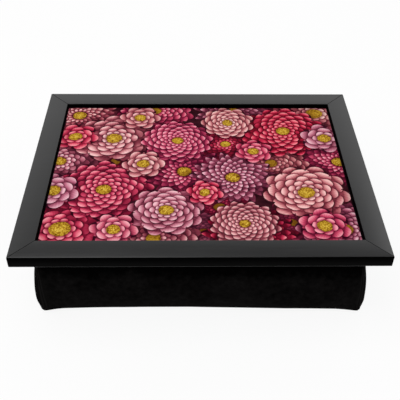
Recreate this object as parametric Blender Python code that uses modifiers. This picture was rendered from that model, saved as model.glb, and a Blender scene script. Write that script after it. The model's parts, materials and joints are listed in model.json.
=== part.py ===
# Lap tray: a mitred black frame round a printed panel, fixed on a bean-bag cushion.
# Units are metres and +Z is up. The origin is the centre of the footprint, on the surface that it stands on.
# X runs along the tray's width, and -Y is the side that faces the sitter.

import math

import bmesh
import bpy
from mathutils import Matrix, Vector

MM = 0.001

# Overall size: the frame gives the width and depth, and stands on the cushion.
TRAY_WIDTH = 440 * MM
TRAY_DEPTH = 340 * MM
CUSHION_HEIGHT = 100 * MM

# Frame moulding: one section for all four rails, with a lip over the rebate that holds the boards.
RAIL_WIDTH = 28 * MM
RAIL_HEIGHT = 16 * MM
LIP_WIDTH = 6 * MM
LIP_HEIGHT = 6 * MM
TOP_ARRIS = 1.0 * MM
FOOT_ARRIS = 0.5 * MM
ARRIS_STEPS = 3

# Sheets and boards in the rebate.
PRINT_THICKNESS = 0.6 * MM
PANEL_THICKNESS = 3 * MM
BOARD_THICKNESS = 3 * MM
BOARD_CORNER = 6 * MM

# Pressed V-nails, driven into each mitre from below: size in plan, height, and where they stand.
V_NAIL_HEIGHT = 10 * MM
V_NAIL_STEEL = 0.5 * MM
V_NAIL_LEG_SPREAD = 4.2 * MM
V_NAIL_LEG_DEPTH = 3.0 * MM
V_NAIL_CURL = 0.9 * MM
V_NAIL_CURL_ANGLE = math.radians(30)
V_NAIL_FROM_CORNER = 12 * MM
V_NAIL_FROM_REBATE = 6 * MM

# Cover of the cushion: one bag whose mouth is folded over the base board and stapled.
COVER_THICKNESS = 0.8 * MM
FLANGE_WIDTH = 20 * MM
SLIT_WIDTH = 1.2 * MM
SLIT_FROM_CORNER = 7 * MM

# Form of the filled bag, measured out from the line where the cover wraps the base board.
SIDE_BULGE = 10 * MM
SEAM_BULGE = 8 * MM
EAR_HEIGHT = 1.6 * MM
EAR_REACH = 4.5 * MM
EAR_RADIUS = 3 * MM
SIDE_DRAW_IN = 2.5 * MM
BASE_INSET = 12 * MM
BASE_CORNER = 8 * MM
CORNER_STEPS = 4
SIDE_STEPS = 6

# Wall of the bag from the frame down: share of the cushion's height above its base, share of the side bulge,
# share of the seam bulge, and the corner's radius. A bean bag is fullest below the middle.
WALL_STATIONS = (
    (1.00, 0.00, 0.00, 7 * MM),
    (0.86, 0.32, 0.28, 9 * MM),
    (0.68, 0.64, 0.56, 11 * MM),
    (0.48, 0.92, 0.86, 12 * MM),
    (0.30, 1.00, 1.00, 11 * MM),
    (0.16, 0.84, 0.94, 8 * MM),
    (0.07, 0.48, 0.80, 5 * MM),
)

# Wire staples.
STAPLE_WIRE = 0.6 * MM
STAPLE_CROWN = 10 * MM
STAPLE_FROM_EDGE = 9 * MM
STAPLE_FROM_CORNER = 34 * MM
WOOD_UNDER_STAPLE = 1.0 * MM
STAPLES_PER_LONG_SIDE = 5
STAPLES_PER_SHORT_SIDE = 4

# Clearances.
TOUCH_GAP = 0.3 * MM
REBATE_PLAY = 0.5 * MM
MITRE_GAP = 0.3 * MM
CUT_OVERRUN = 1.0 * MM

# Heights above the frame's underside, worked out down through the rebate.
PRINT_TOP = RAIL_HEIGHT - LIP_HEIGHT - TOUCH_GAP
PRINT_BOTTOM = PRINT_TOP - PRINT_THICKNESS
PANEL_TOP = PRINT_BOTTOM - TOUCH_GAP
PANEL_BOTTOM = PANEL_TOP - PANEL_THICKNESS
CROWN_AXIS = PANEL_BOTTOM - TOUCH_GAP - STAPLE_WIRE / 2
FLANGE_TOP = CROWN_AXIS - STAPLE_WIRE / 2 - TOUCH_GAP
BOARD_TOP = FLANGE_TOP - COVER_THICKNESS - TOUCH_GAP
BOARD_BOTTOM = BOARD_TOP - BOARD_THICKNESS
STAPLE_POINT = BOARD_BOTTOM + WOOD_UNDER_STAPLE
FILLING_TOP = BOARD_BOTTOM - TOUCH_GAP

# Half sizes in plan of what lies in the rebate.
REBATE_INSET = RAIL_WIDTH - LIP_WIDTH
PANEL_HALF = Vector((TRAY_WIDTH / 2, TRAY_DEPTH / 2)) - Vector((1, 1)) * (REBATE_INSET + REBATE_PLAY)
WRAP_HALF = PANEL_HALF
BOARD_HALF = WRAP_HALF - Vector((1, 1)) * (COVER_THICKNESS + TOUCH_GAP)
WRAP_CORNER = BOARD_CORNER + COVER_THICKNESS + TOUCH_GAP

COLOURS = {
    "black_rail": ((0.035, 0.035, 0.037, 1), 0.42, 0.0),
    "printed_laminate": ((0.42, 0.08, 0.15, 1), 0.35, 0.0),
    "hardboard": ((0.33, 0.21, 0.12, 1), 0.8, 0.0),
    "black_suede": ((0.012, 0.012, 0.013, 1), 0.95, 0.0),
    "white_beads": ((0.85, 0.85, 0.83, 1), 0.7, 0.0),
    "bright_steel": ((0.6, 0.6, 0.62, 1), 0.35, 1.0),
}


def clear_scene():
    for thing in list(bpy.data.objects):
        bpy.data.objects.remove(thing)


def new_collection(name):
    collection = bpy.data.collections.new(name)
    bpy.context.scene.collection.children.link(collection)
    return collection


def new_empty(name, parent, location):
    empty = bpy.data.objects.new(name, None)
    PARTS.objects.link(empty)
    empty.parent = parent
    empty.location = location
    return empty


def material_of(name):
    """The named finish, made the first time it is asked for."""
    found = bpy.data.materials.get(name)
    if found:
        return found
    made = bpy.data.materials.new(name)
    made.use_nodes = True
    shader = made.node_tree.nodes["Principled BSDF"]
    colour, roughness, metallic = COLOURS[name]
    shader.inputs["Base Color"].default_value = colour
    shader.inputs["Roughness"].default_value = roughness
    shader.inputs["Metallic"].default_value = metallic
    made.diffuse_color = colour
    return made


def add_part(name, data, parent, finish, matrix=None):
    """A sub-part in the tray's collection, under its empty."""
    part = bpy.data.objects.new(name, data)
    PARTS.objects.link(part)
    part.parent = parent
    if matrix is not None:
        part.matrix_local = matrix
    if not data.materials:
        data.materials.append(material_of(finish))
    return part


def add_cutter(name, data, parent, matrix=None):
    cutter = bpy.data.objects.new(name, data)
    CUTTERS.objects.link(cutter)
    cutter.parent = parent
    if matrix is not None:
        cutter.matrix_local = matrix
    cutter.hide_render = True
    cutter.display_type = "WIRE"
    return cutter


def mesh_from(shape, name):
    """A mesh datablock from a bmesh, which is freed."""
    data = bpy.data.meshes.new(name)
    shape.to_mesh(data)
    shape.free()
    return data


def cut(part, cutter):
    modifier = part.modifiers.new("cut_" + cutter.name, "BOOLEAN")
    modifier.operation = "DIFFERENCE"
    modifier.solver = "EXACT"
    modifier.object = cutter


def solidify(part, thickness, offset):
    modifier = part.modifiers.new("thickness", "SOLIDIFY")
    modifier.thickness = thickness
    modifier.offset = offset
    modifier.use_even_offset = True
    modifier.use_quality_normals = True


def smooth(data, sharp_degrees):
    data.shade_smooth()
    data.set_sharp_from_angle(angle=math.radians(sharp_degrees))


def outline_prism(name, points, length):
    """A flat outline in XY made a closed prism that reaches half its length each way along Z."""
    curve = bpy.data.curves.new(name, "CURVE")
    curve.dimensions = "2D"
    curve.fill_mode = "BOTH"
    curve.extrude = length / 2
    spline = curve.splines.new("POLY")
    spline.points.add(len(points) - 1)
    for place, point in zip(spline.points, points):
        place.co = (point[0], point[1], 0, 1)
    spline.use_cyclic_u = True
    guide = bpy.data.objects.new(name + "_outline", curve)
    bpy.context.scene.collection.objects.link(guide)
    graph = bpy.context.evaluated_depsgraph_get()
    data = bpy.data.meshes.new_from_object(guide.evaluated_get(graph))
    bpy.data.objects.remove(guide)
    shape = bmesh.new()
    shape.from_mesh(data)
    bmesh.ops.remove_doubles(shape, verts=shape.verts, dist=0.01 * MM)
    shape.to_mesh(data)
    shape.free()
    data.name = name
    return data


def rounded_corner(corner, before, after, radius):
    """Points of the arc that rounds a square corner, from the side that comes in to the side that leaves."""
    back = (before - corner).normalized() * radius
    ahead = (after - corner).normalized() * radius
    centre = corner + back + ahead
    points = []
    for step in range(ARRIS_STEPS + 1):
        angle = math.pi / 2 * step / ARRIS_STEPS
        points.append(centre - ahead * math.cos(angle) - back * math.sin(angle))
    return points


def rail_section():
    """The moulding's outline: distance in from the outer face, and height above the underside."""
    lip_under = RAIL_HEIGHT - LIP_HEIGHT
    corners = (
        ((0, 0), FOOT_ARRIS),
        ((REBATE_INSET, 0), 0),
        ((REBATE_INSET, lip_under), 0),
        ((RAIL_WIDTH, lip_under), 0),
        ((RAIL_WIDTH, RAIL_HEIGHT), TOP_ARRIS),
        ((0, RAIL_HEIGHT), TOP_ARRIS),
    )
    places = [Vector(place) for place, _ in corners]
    points = []
    for index, (_, radius) in enumerate(corners):
        corner = places[index]
        if radius:
            points += rounded_corner(corner, places[index - 1], places[(index + 1) % len(places)], radius)
        else:
            points.append(corner)
    return points


def add_rail(name, side, length, reach):
    """A rail cut to length with a mitre at each end. side counts quarter turns from the front rail."""
    data = outline_prism(name, rail_section(), length)
    mitre_step = MITRE_GAP / 2 * math.sqrt(2)
    for vertex in data.vertices:
        end = math.copysign(1, vertex.co.z)
        vertex.co.z -= end * (vertex.co.x + mitre_step)
    # The section's own axes go to: in from the outer face, up, and along the rail.
    stand = Matrix(((0, 0, 1, 0), (1, 0, 0, 0), (0, 1, 0, 0), (0, 0, 0, 1)))
    place = Matrix.Rotation(side * math.pi / 2, 4, "Z") @ Matrix.Translation((0, -reach, 0)) @ stand
    smooth(data, 35)
    return add_part(name, data, FRAME, "black_rail", place)


def v_nail_path(longer):
    """A V-nail in plan, its point on the mitre and its legs open to the corner, each with a curled tip."""
    curl = V_NAIL_CURL + longer
    leg = Vector((V_NAIL_LEG_DEPTH, V_NAIL_LEG_SPREAD))
    tip = leg + Vector((-math.sin(V_NAIL_CURL_ANGLE), math.cos(V_NAIL_CURL_ANGLE))) * curl
    half = [leg, tip]
    return [Vector((p.x, -p.y)) for p in reversed(half)] + [Vector((0, 0))] + half


def v_nail_band(name, longer, bottom, top):
    """A band of steel standing on edge along the V, as an open surface."""
    shape = bmesh.new()
    feet = [shape.verts.new((point.x, point.y, bottom)) for point in v_nail_path(longer)]
    edges = [shape.edges.new(pair) for pair in zip(feet, feet[1:])]
    raised = bmesh.ops.extrude_edge_only(shape, edges=edges)["geom"]
    tops = [item for item in raised if isinstance(item, bmesh.types.BMVert)]
    bmesh.ops.translate(shape, vec=(0, 0, top - bottom), verts=tops)
    return mesh_from(shape, name)


def add_v_nails(rails):
    """Two V-nails in every mitre, and their slots in the two rails that meet there."""
    nail = v_nail_band("v_nail", 0, TOUCH_GAP, TOUCH_GAP + V_NAIL_HEIGHT)
    slot = v_nail_band("v_nail_slot", TOUCH_GAP, -CUT_OVERRUN, V_NAIL_HEIGHT + 2 * TOUCH_GAP)
    rebate_corner = REBATE_INSET * math.sqrt(2)
    stations = {"outer": V_NAIL_FROM_CORNER, "inner": rebate_corner - V_NAIL_FROM_REBATE}
    corners = {
        "back_right": (1, 1),
        "back_left": (-1, 1),
        "front_left": (-1, -1),
        "front_right": (1, -1),
    }
    for corner, (x_side, y_side) in corners.items():
        turn = math.atan2(y_side, x_side)
        outwards = Vector((math.cos(turn), math.sin(turn)))
        mitre_end = Vector((x_side * TRAY_WIDTH / 2, y_side * TRAY_DEPTH / 2))
        for station, from_corner in stations.items():
            spot = mitre_end - outwards * from_corner
            place = Matrix.Translation((spot.x, spot.y, 0)) @ Matrix.Rotation(turn, 4, "Z")
            name = f"v_nail_{corner}_{station}"
            solidify(add_part(name, nail, FRAME, "bright_steel", place), V_NAIL_STEEL, 0)
            cutter = add_cutter(name + "_slot", slot, FRAME, place)
            solidify(cutter, V_NAIL_STEEL + 2 * TOUCH_GAP, 0)
            for side in corner.split("_"):
                cut(rails[side], cutter)


def add_sheet(name, bottom, top, finish):
    """A flat sheet that fills the rebate."""
    shape = bmesh.new()
    size = Matrix.Diagonal((2 * PANEL_HALF.x, 2 * PANEL_HALF.y, top - bottom, 1))
    bmesh.ops.create_cube(shape, size=1, matrix=Matrix.Translation((0, 0, (bottom + top) / 2)) @ size)
    return add_part(name, mesh_from(shape, name), FRAME, finish)


def ring(half, radius, bow, side_steps=SIDE_STEPS):
    """A rectangle with round corners whose sides bow out by bow in the middle, as points anticlockwise."""
    points = []
    for quarter in range(4):
        reach, run = (half.x, half.y) if quarter % 2 == 0 else (half.y, half.x)
        turn = Matrix.Rotation(quarter * math.pi / 2, 2)
        for step in range(side_steps):
            along = 2 * step / side_steps - 1
            side = Vector((reach + bow * (1 - along * along), along * (run - radius)))
            points.append(turn @ side)
        for step in range(CORNER_STEPS):
            angle = math.pi / 2 * step / CORNER_STEPS
            arc = Vector((math.cos(angle), math.sin(angle))) * radius
            points.append(turn @ (Vector((reach - radius, run - radius)) + arc))
    return points


def wall_rings():
    """The bag below the frame: its wall, the pointed ear at the foot of each corner seam, and the flat base."""
    rings = []
    for height, side_share, seam_share, radius in WALL_STATIONS:
        seam_out = seam_share * SEAM_BULGE
        side_out = side_share * SIDE_BULGE
        half = WRAP_HALF + Vector((1, 1)) * seam_out
        rings.append((height * CUSHION_HEIGHT, ring(half, radius, side_out - seam_out)))
    ear_half = WRAP_HALF + Vector((1, 1)) * EAR_REACH
    rings.append((EAR_HEIGHT, ring(ear_half, EAR_RADIUS, -EAR_REACH - SIDE_DRAW_IN)))
    base_half = WRAP_HALF - Vector((1, 1)) * BASE_INSET
    rings.append((0, ring(base_half, BASE_CORNER, -SIDE_DRAW_IN)))
    return rings


def loft(rings):
    """An open-topped surface through rings of equal count, closed at the last one. The rings go downwards."""
    shape = bmesh.new()
    rows = [[shape.verts.new((point.x, point.y, height)) for point in points] for height, points in rings]
    for above, below in zip(rows, rows[1:]):
        for index in range(len(above)):
            after = (index + 1) % len(above)
            shape.faces.new((above[index], below[index], below[after], above[after]))
    shape.faces.new(list(reversed(rows[-1])))
    shape.normal_update()
    return shape, rows


def staple_stations():
    """Where each staple lies in plan, and how far it is turned, by name."""
    stations = {}
    sides = (
        ("front", -math.pi / 2, BOARD_HALF.y, BOARD_HALF.x, STAPLES_PER_LONG_SIDE),
        ("right", 0, BOARD_HALF.x, BOARD_HALF.y, STAPLES_PER_SHORT_SIDE),
        ("back", math.pi / 2, BOARD_HALF.y, BOARD_HALF.x, STAPLES_PER_LONG_SIDE),
        ("left", math.pi, BOARD_HALF.x, BOARD_HALF.y, STAPLES_PER_SHORT_SIDE),
    )
    for side, angle, reach, run, count in sides:
        first = run - STAPLE_FROM_CORNER
        for number in range(count):
            along = -first + 2 * first * number / (count - 1)
            spot = Matrix.Translation((reach - STAPLE_FROM_EDGE, along, 0))
            stations[f"staple_{side}_{number + 1}"] = Matrix.Rotation(angle, 4, "Z") @ spot
    return stations


def staple_wire():
    """A staple as a bent wire, its crown along Y at height 0 and its legs down to their points."""
    half = STAPLE_CROWN / 2 - STAPLE_WIRE / 2
    bend = STAPLE_WIRE
    leg = CROWN_AXIS - STAPLE_POINT
    side = [Vector((0, half, -leg))]
    for step in range(3):
        angle = math.pi / 4 * step
        side.append(Vector((0, half - bend + bend * math.cos(angle), -bend + bend * math.sin(angle))))
    path = side + [Vector((0, -point.y, point.z)) for point in reversed(side)]
    curve = bpy.data.curves.new("staple", "CURVE")
    curve.dimensions = "3D"
    curve.bevel_depth = STAPLE_WIRE / 2
    curve.bevel_resolution = 1
    curve.use_fill_caps = True
    spline = curve.splines.new("POLY")
    spline.points.add(len(path) - 1)
    for place, point in zip(spline.points, path):
        place.co = (point.x, point.y, point.z, 1)
    return curve


def staple_holes(stations):
    """A cutter for every staple leg: a square hole with clearance, from above the flange into the board."""
    shape = bmesh.new()
    width = STAPLE_WIRE + 2 * TOUCH_GAP
    top = FLANGE_TOP + CUT_OVERRUN
    bottom = STAPLE_POINT - TOUCH_GAP
    leg_out = STAPLE_CROWN / 2 - STAPLE_WIRE / 2
    size = Matrix.Diagonal((width, width, top - bottom, 1))
    for station in stations.values():
        for leg in (-leg_out, leg_out):
            place = station @ Matrix.Translation((0, leg, (top + bottom) / 2)) @ size
            bmesh.ops.create_cube(shape, size=1, matrix=place)
    return add_cutter("staple_holes", mesh_from(shape, "staple_holes"), FRAME)


def corner_slits():
    """A cutter that slits the folded flange along each diagonal, where its surplus is cut away."""
    shape = bmesh.new()
    depth = COVER_THICKNESS + 2 * TOUCH_GAP
    level = FLANGE_TOP - COVER_THICKNESS / 2
    length = FLANGE_WIDTH * math.sqrt(2)
    size = Matrix.Diagonal((length, SLIT_WIDTH, depth, 1))
    for x_side in (-1, 1):
        for y_side in (-1, 1):
            turn = math.atan2(y_side, x_side)
            corner = Matrix.Translation((x_side * WRAP_HALF.x, y_side * WRAP_HALF.y, level))
            inwards = Matrix.Translation((-SLIT_FROM_CORNER - length / 2, 0, 0))
            place = corner @ Matrix.Rotation(turn, 4, "Z") @ inwards @ size
            bmesh.ops.create_cube(shape, size=1, matrix=place)
    return add_cutter("flange_slits", mesh_from(shape, "flange_slits"), FRAME)


def add_base_board(holes):
    data = outline_prism("base_board", ring(BOARD_HALF, BOARD_CORNER, 0, side_steps=1), BOARD_THICKNESS)
    middle = Matrix.Translation((0, 0, (BOARD_TOP + BOARD_BOTTOM) / 2))
    board = add_part("base_board", data, FRAME, "hardboard", middle)
    cut(board, holes)


def add_cover(holes, slits):
    """The bag: its flange on the base board, its wrap down the board's edge, its wall, ears and flat base."""
    flange_half = WRAP_HALF - Vector((1, 1)) * FLANGE_WIDTH
    mouth = [
        (CUSHION_HEIGHT + FLANGE_TOP, ring(flange_half, WRAP_CORNER, 0)),
        (CUSHION_HEIGHT + FLANGE_TOP, ring(WRAP_HALF, WRAP_CORNER, 0)),
    ]
    shape, _ = loft(mouth + wall_rings())
    data = mesh_from(shape, "cushion_cover")
    smooth(data, 50)
    cover = add_part("cushion_cover", data, CUSHION, "black_suede")
    solidify(cover, COVER_THICKNESS, -1)
    cut(cover, holes)
    cut(cover, slits)


def add_filling():
    """The beads, as one mass that fills the bag up to the base board, clear of the cover by a touch gap."""
    rings = wall_rings()
    rings[0] = (CUSHION_HEIGHT + FILLING_TOP, rings[0][1])
    shape, rows = loft(rings)
    depth = COVER_THICKNESS + TOUCH_GAP
    moved = {vertex: vertex.co - vertex.normal * depth * vertex.calc_shell_factor() for vertex in shape.verts}
    for vertex, place in moved.items():
        vertex.co = place
    for vertex in rows[0]:
        vertex.co.z = CUSHION_HEIGHT + FILLING_TOP
    for vertex in rows[-1]:
        vertex.co.z = depth
    shape.faces.new(rows[0])
    data = mesh_from(shape, "bead_filling")
    smooth(data, 50)
    add_part("bead_filling", data, CUSHION, "white_beads")


clear_scene()
PARTS = new_collection("lap_tray")
CUTTERS = new_collection("lap_tray_cutters")
TRAY = new_empty("tray_origin", None, (0, 0, 0))
CUSHION = new_empty("cushion_origin", TRAY, (0, 0, 0))
FRAME = new_empty("frame_origin", TRAY, (0, 0, CUSHION_HEIGHT))

frame_rails = {
    "front": add_rail("front_rail", 0, TRAY_WIDTH, TRAY_DEPTH / 2),
    "right": add_rail("right_rail", 1, TRAY_DEPTH, TRAY_WIDTH / 2),
    "back": add_rail("back_rail", 2, TRAY_WIDTH, TRAY_DEPTH / 2),
    "left": add_rail("left_rail", 3, TRAY_DEPTH, TRAY_WIDTH / 2),
}
add_v_nails(frame_rails)
add_sheet("print_sheet", PRINT_BOTTOM, PRINT_TOP, "printed_laminate")
add_sheet("tray_panel", PANEL_BOTTOM, PANEL_TOP, "hardboard")

staple_places = staple_stations()
leg_holes = staple_holes(staple_places)
add_base_board(leg_holes)
add_cover(leg_holes, corner_slits())
add_filling()
staple_shape = staple_wire()
for staple_name, staple_place in staple_places.items():
    lifted = Matrix.Translation((0, 0, CROWN_AXIS)) @ staple_place
    add_part(staple_name, staple_shape, FRAME, "bright_steel", lifted)
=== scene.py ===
import json
import math

import bmesh
import bpy
from mathutils import Matrix, Vector, noise

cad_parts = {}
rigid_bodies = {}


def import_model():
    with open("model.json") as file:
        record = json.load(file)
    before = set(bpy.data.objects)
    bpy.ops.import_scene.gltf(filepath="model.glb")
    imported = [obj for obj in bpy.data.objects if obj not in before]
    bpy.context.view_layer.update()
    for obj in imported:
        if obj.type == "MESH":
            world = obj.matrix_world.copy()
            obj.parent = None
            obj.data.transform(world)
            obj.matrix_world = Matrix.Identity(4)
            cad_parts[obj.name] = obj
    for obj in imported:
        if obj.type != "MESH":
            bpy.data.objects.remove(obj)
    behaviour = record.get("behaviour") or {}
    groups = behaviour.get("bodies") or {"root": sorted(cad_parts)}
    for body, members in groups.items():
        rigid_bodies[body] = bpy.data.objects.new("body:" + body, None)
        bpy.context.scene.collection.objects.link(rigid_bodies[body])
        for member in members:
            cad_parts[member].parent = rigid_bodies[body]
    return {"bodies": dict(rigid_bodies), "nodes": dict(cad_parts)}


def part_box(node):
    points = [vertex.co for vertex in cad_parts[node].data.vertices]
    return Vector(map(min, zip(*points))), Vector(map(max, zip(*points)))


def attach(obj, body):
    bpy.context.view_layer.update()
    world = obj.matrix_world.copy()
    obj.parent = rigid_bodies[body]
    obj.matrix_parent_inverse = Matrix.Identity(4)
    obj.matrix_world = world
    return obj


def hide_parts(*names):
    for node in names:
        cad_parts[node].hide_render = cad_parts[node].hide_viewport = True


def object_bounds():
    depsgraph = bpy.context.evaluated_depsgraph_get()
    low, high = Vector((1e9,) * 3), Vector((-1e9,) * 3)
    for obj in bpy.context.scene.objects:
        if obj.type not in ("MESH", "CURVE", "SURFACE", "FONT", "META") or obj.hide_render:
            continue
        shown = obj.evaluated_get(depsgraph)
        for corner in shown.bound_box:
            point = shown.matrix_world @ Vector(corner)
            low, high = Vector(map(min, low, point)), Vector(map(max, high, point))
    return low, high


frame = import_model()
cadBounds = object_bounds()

mm = 0.001
tiny = 0.1 * mm                          # places and heights this close count as the same
weld = 0.02 * mm                         # points this close are joined to one
facing = 0.9                             # a face with a normal above this along an axis looks that way
nodes = frame["nodes"]
body = list(frame["bodies"])[0]
trayHalf = cadBounds[1].xy               # half the tray's width and depth
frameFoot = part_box("front_rail")[0].z    # the underside of the frame
print("lap tray: frame loaded,", len(nodes), "nodes")


# camera, floor and light

camera = {
    "place": (-0.0152, -0.6935, 0.6661),
    "tilt": 48.495,      # degrees up from straight down
    "roll": -0.637,
    "pan": -0.825,
    "lens": 60.25,
    "sensor": 36.0,
    "nearest": 0.01,
}

stage = {
    "floorSize": 8.0,
    "floorColour": 0.93,
    "floorRoughness": 0.9,
    "contact": 1.5 * mm,    # light passes where a piece is this near the floor, to show its underside
    "whiteShare": 0.90,     # how much of the floor that the camera sees is plain white
    "sky": 1.56,            # strength where it is brightest
}

# height of a direction as its z, and the sky's share of its strength there
skyBands = [(0.0, 0.9), (0.03, 0.12), (0.32, 0.52), (0.50, 1.0), (0.61, 0.70), (0.67, 0.35), (0.72, 0.175)]

# place, width, depth, watts; each lamp looks at the tray
lamps = {
    "keyLamp": ((-0.45, -0.10, 1.8), 1.3, 1.0, 14.0),
    "sideLamp": ((2.0, 1.9, 2.25), 1.4, 1.4, 7.6),
}


class Wire:
    # one output of a node: arithmetic on it adds the Math nodes that work it out

    def __init__(self, finish, socket):
        self.finish = finish
        self.socket = socket

    def maths(self, operation, *values, clamp=False):
        settings = {"operation": operation, "use_clamp": clamp}
        return self.finish.node("Math", settings, dict(enumerate(values)))

    def then(self, operation, *others, clamp=False):
        # one more step, with this value first
        return self.maths(operation, self, *others, clamp=clamp)

    def __add__(self, other):
        return self.then("ADD", other)

    def __radd__(self, other):
        return self.maths("ADD", other, self)

    def __sub__(self, other):
        return self.then("SUBTRACT", other)

    def __rsub__(self, other):
        return self.maths("SUBTRACT", other, self)

    def __mul__(self, other):
        return self.then("MULTIPLY", other)

    def __truediv__(self, other):
        return self.then("DIVIDE", other)

    def __pow__(self, other):
        return self.then("POWER", other)

    def __lt__(self, other):
        return self.then("LESS_THAN", other)

    def __gt__(self, other):
        return self.then("GREATER_THAN", other)

    def timesPlus(self, factor, extra, clamp=False):
        return self.then("MULTIPLY_ADD", factor, extra, clamp=clamp)

    def fraction(self):
        return self.then("FRACT")

    def size(self):
        return self.then("ABSOLUTE")

    def wave(self):
        return self.then("SINE")

    def held(self):
        # kept from 0 to 1
        return self.then("ADD", 0, clamp=True)


def greys(stops):
    # the same places, with each value as a grey
    return [(place, (value, value, value)) for place, value in stops]


def setStops(ramp, stops):
    # a ramp's places and colours; a colour of four values sets the alpha too
    while len(ramp.elements) < len(stops):
        ramp.elements.new(0.5)
    for element, (place, colour) in zip(ramp.elements, stops):
        element.position = place
        element.color = (*colour, 1)[:4]


class Finish:
    # a material and its nodes; constant looks go straight on the shader's sockets

    def __init__(self, name, **looks):
        self.material = bpy.data.materials.new(name)
        self.material.use_nodes = True
        self.tree = self.material.node_tree
        self.shader = self.tree.nodes["Principled BSDF"]
        for socket, value in looks.items():
            self.plug(self.shader.inputs[socket.replace("_", " ")], value)

    def plug(self, socket, value):
        if isinstance(value, Wire):
            self.tree.links.new(value.socket, socket)
        elif socket.type == "RGBA" and len(value) == 3:
            socket.default_value = (*value, 1)
        else:
            socket.default_value = value

    def node(self, kind, settings, values, output=0):
        made = self.tree.nodes.new("ShaderNode" + kind)
        for key, value in settings.items():
            if key == "stops":
                setStops(made.color_ramp, value)
            elif key == "interpolation":
                made.color_ramp.interpolation = value
            else:
                setattr(made, key, value)
        for key, value in values.items():
            self.plug(made.inputs[key], value)
        return Wire(self, made.outputs[output])

    def coordinates(self, scale=(1, 1, 1), turn=0):
        # the piece's own coordinates in millimetres, stretched and turned
        own = self.node("TexCoord", {}, {}, "Object")
        sizes = [value / mm for value in scale]
        values = {"Vector": own, "Scale": sizes, "Rotation": (0, 0, math.radians(turn))}
        return self.node("Mapping", {}, values)

    def noise(self, spot, scale, detail=3, rough=0.5, output="Fac"):
        values = {"Vector": spot, "Scale": scale, "Detail": detail, "Roughness": rough}
        return self.node("TexNoise", {}, values, output)

    def cells(self, spot, scale):
        return self.node("TexVoronoi", {}, {"Vector": spot, "Scale": scale}, "Distance")

    def vectors(self, operation, first, second, output="Vector"):
        return self.node("VectorMath", {"operation": operation}, {0: first, 1: second}, output)

    def apart(self, vector):
        made = self.tree.nodes.new("ShaderNodeSeparateXYZ")
        self.plug(made.inputs[0], vector)
        return [Wire(self, output) for output in made.outputs]

    def together(self, x, y, z):
        return self.node("CombineXYZ", {}, {0: x, 1: y, 2: z})

    # a Mix node has its own sockets for values, vectors and colours, told here by their places

    def blendValue(self, share, low, high):
        return self.node("Mix", {"data_type": "FLOAT"}, {0: share, 2: low, 3: high}, 0)

    def blendVector(self, share, low, high):
        return self.node("Mix", {"data_type": "VECTOR"}, {0: share, 4: low, 5: high}, 1)

    def blendColour(self, share, low, high):
        return self.node("Mix", {"data_type": "RGBA"}, {0: share, 6: low, 7: high}, 2)

    def ramp(self, value, stops):
        return self.node("ValToRGB", {"stops": stops}, {0: value})

    def bump(self, height, strength, distance):
        # the distance is in millimetres
        values = {"Height": height, "Strength": strength, "Distance": distance * mm}
        self.look("Normal", self.node("Bump", {}, values))

    def look(self, socket, value):
        self.plug(self.shader.inputs[socket], value)

    def mixedShader(self, share, first, second):
        made = self.tree.nodes.new("ShaderNodeMixShader")
        self.plug(made.inputs[0], share)
        self.tree.links.new(first, made.inputs[1])
        self.tree.links.new(second, made.inputs[2])
        return made.outputs[0]

    def give(self, piece):
        piece.data.materials.clear()
        piece.data.materials.append(self.material)


def makeCamera():
    turn = [math.radians(camera[name]) for name in ("tilt", "roll", "pan")]
    bpy.ops.object.camera_add(location=camera["place"], rotation=turn)
    eye = bpy.context.object
    eye.name = "camera"
    eye.data.lens = camera["lens"]
    eye.data.sensor_width = camera["sensor"]
    eye.data.clip_start = camera["nearest"]
    bpy.context.scene.camera = eye


def seenPlain(finish):
    # 1 for the rays that see the floor as plain white
    light = finish.tree.nodes.new("ShaderNodeLightPath")
    ways = ("Is Camera Ray", "Is Glossy Ray", "Is Transmission Ray")
    eye, gloss, through = [Wire(finish, light.outputs[way]) for way in ways]
    return (eye + gloss + through).held()


def makeFloor():
    bpy.ops.mesh.primitive_plane_add(size=stage["floorSize"])
    floor = bpy.context.object
    floor.name = "floor"
    paint = Finish("floor_white", Roughness=stage["floorRoughness"], Specular_IOR_Level=0.0)
    paint.look("Base Color", (stage["floorColour"],) * 3)
    glow = paint.tree.nodes.new("ShaderNodeEmission")
    clear = paint.tree.nodes.new("ShaderNodeBsdfTransparent")
    back = paint.node("NewGeometry", {}, {}, "Backfacing")
    reach = paint.node("LightPath", {}, {}, "Ray Length")
    plain = seenPlain(paint) * stage["whiteShare"]
    pale = paint.mixedShader(plain, paint.shader.outputs[0], glow.outputs[0])
    # seen through from below, and lit where the base rests
    through = (back + (reach < stage["contact"])).held()
    oneSided = paint.mixedShader(through, pale, clear.outputs[0])
    paint.tree.links.new(oneSided, paint.tree.nodes["Material Output"].inputs["Surface"])
    paint.give(floor)


def makeSky():
    # light in bands for the tray, and plain white for the camera
    sky = bpy.data.worlds.new("sky")
    sky.use_nodes = True
    bpy.context.scene.world = sky
    tree = sky.node_tree
    way = tree.nodes.new("ShaderNodeTexCoord")
    split = tree.nodes.new("ShaderNodeSeparateXYZ")
    bands = tree.nodes.new("ShaderNodeValToRGB")
    setStops(bands.color_ramp, greys(skyBands))
    strength = tree.nodes.new("ShaderNodeMath")
    strength.operation = "MULTIPLY"
    strength.inputs[1].default_value = stage["sky"]
    light = tree.nodes.new("ShaderNodeLightPath")
    plain = tree.nodes.new("ShaderNodeMix")
    plain.inputs["B"].default_value = 1.0
    tree.links.new(way.outputs["Generated"], split.inputs[0])
    tree.links.new(split.outputs["Z"], bands.inputs[0])
    tree.links.new(bands.outputs[0], strength.inputs[0])
    tree.links.new(light.outputs["Is Camera Ray"], plain.inputs["Factor"])
    tree.links.new(strength.outputs[0], plain.inputs["A"])
    tree.links.new(plain.outputs[0], tree.nodes["Background"].inputs["Strength"])
    tree.nodes["Background"].inputs["Color"].default_value = (1, 1, 1, 1)


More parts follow.
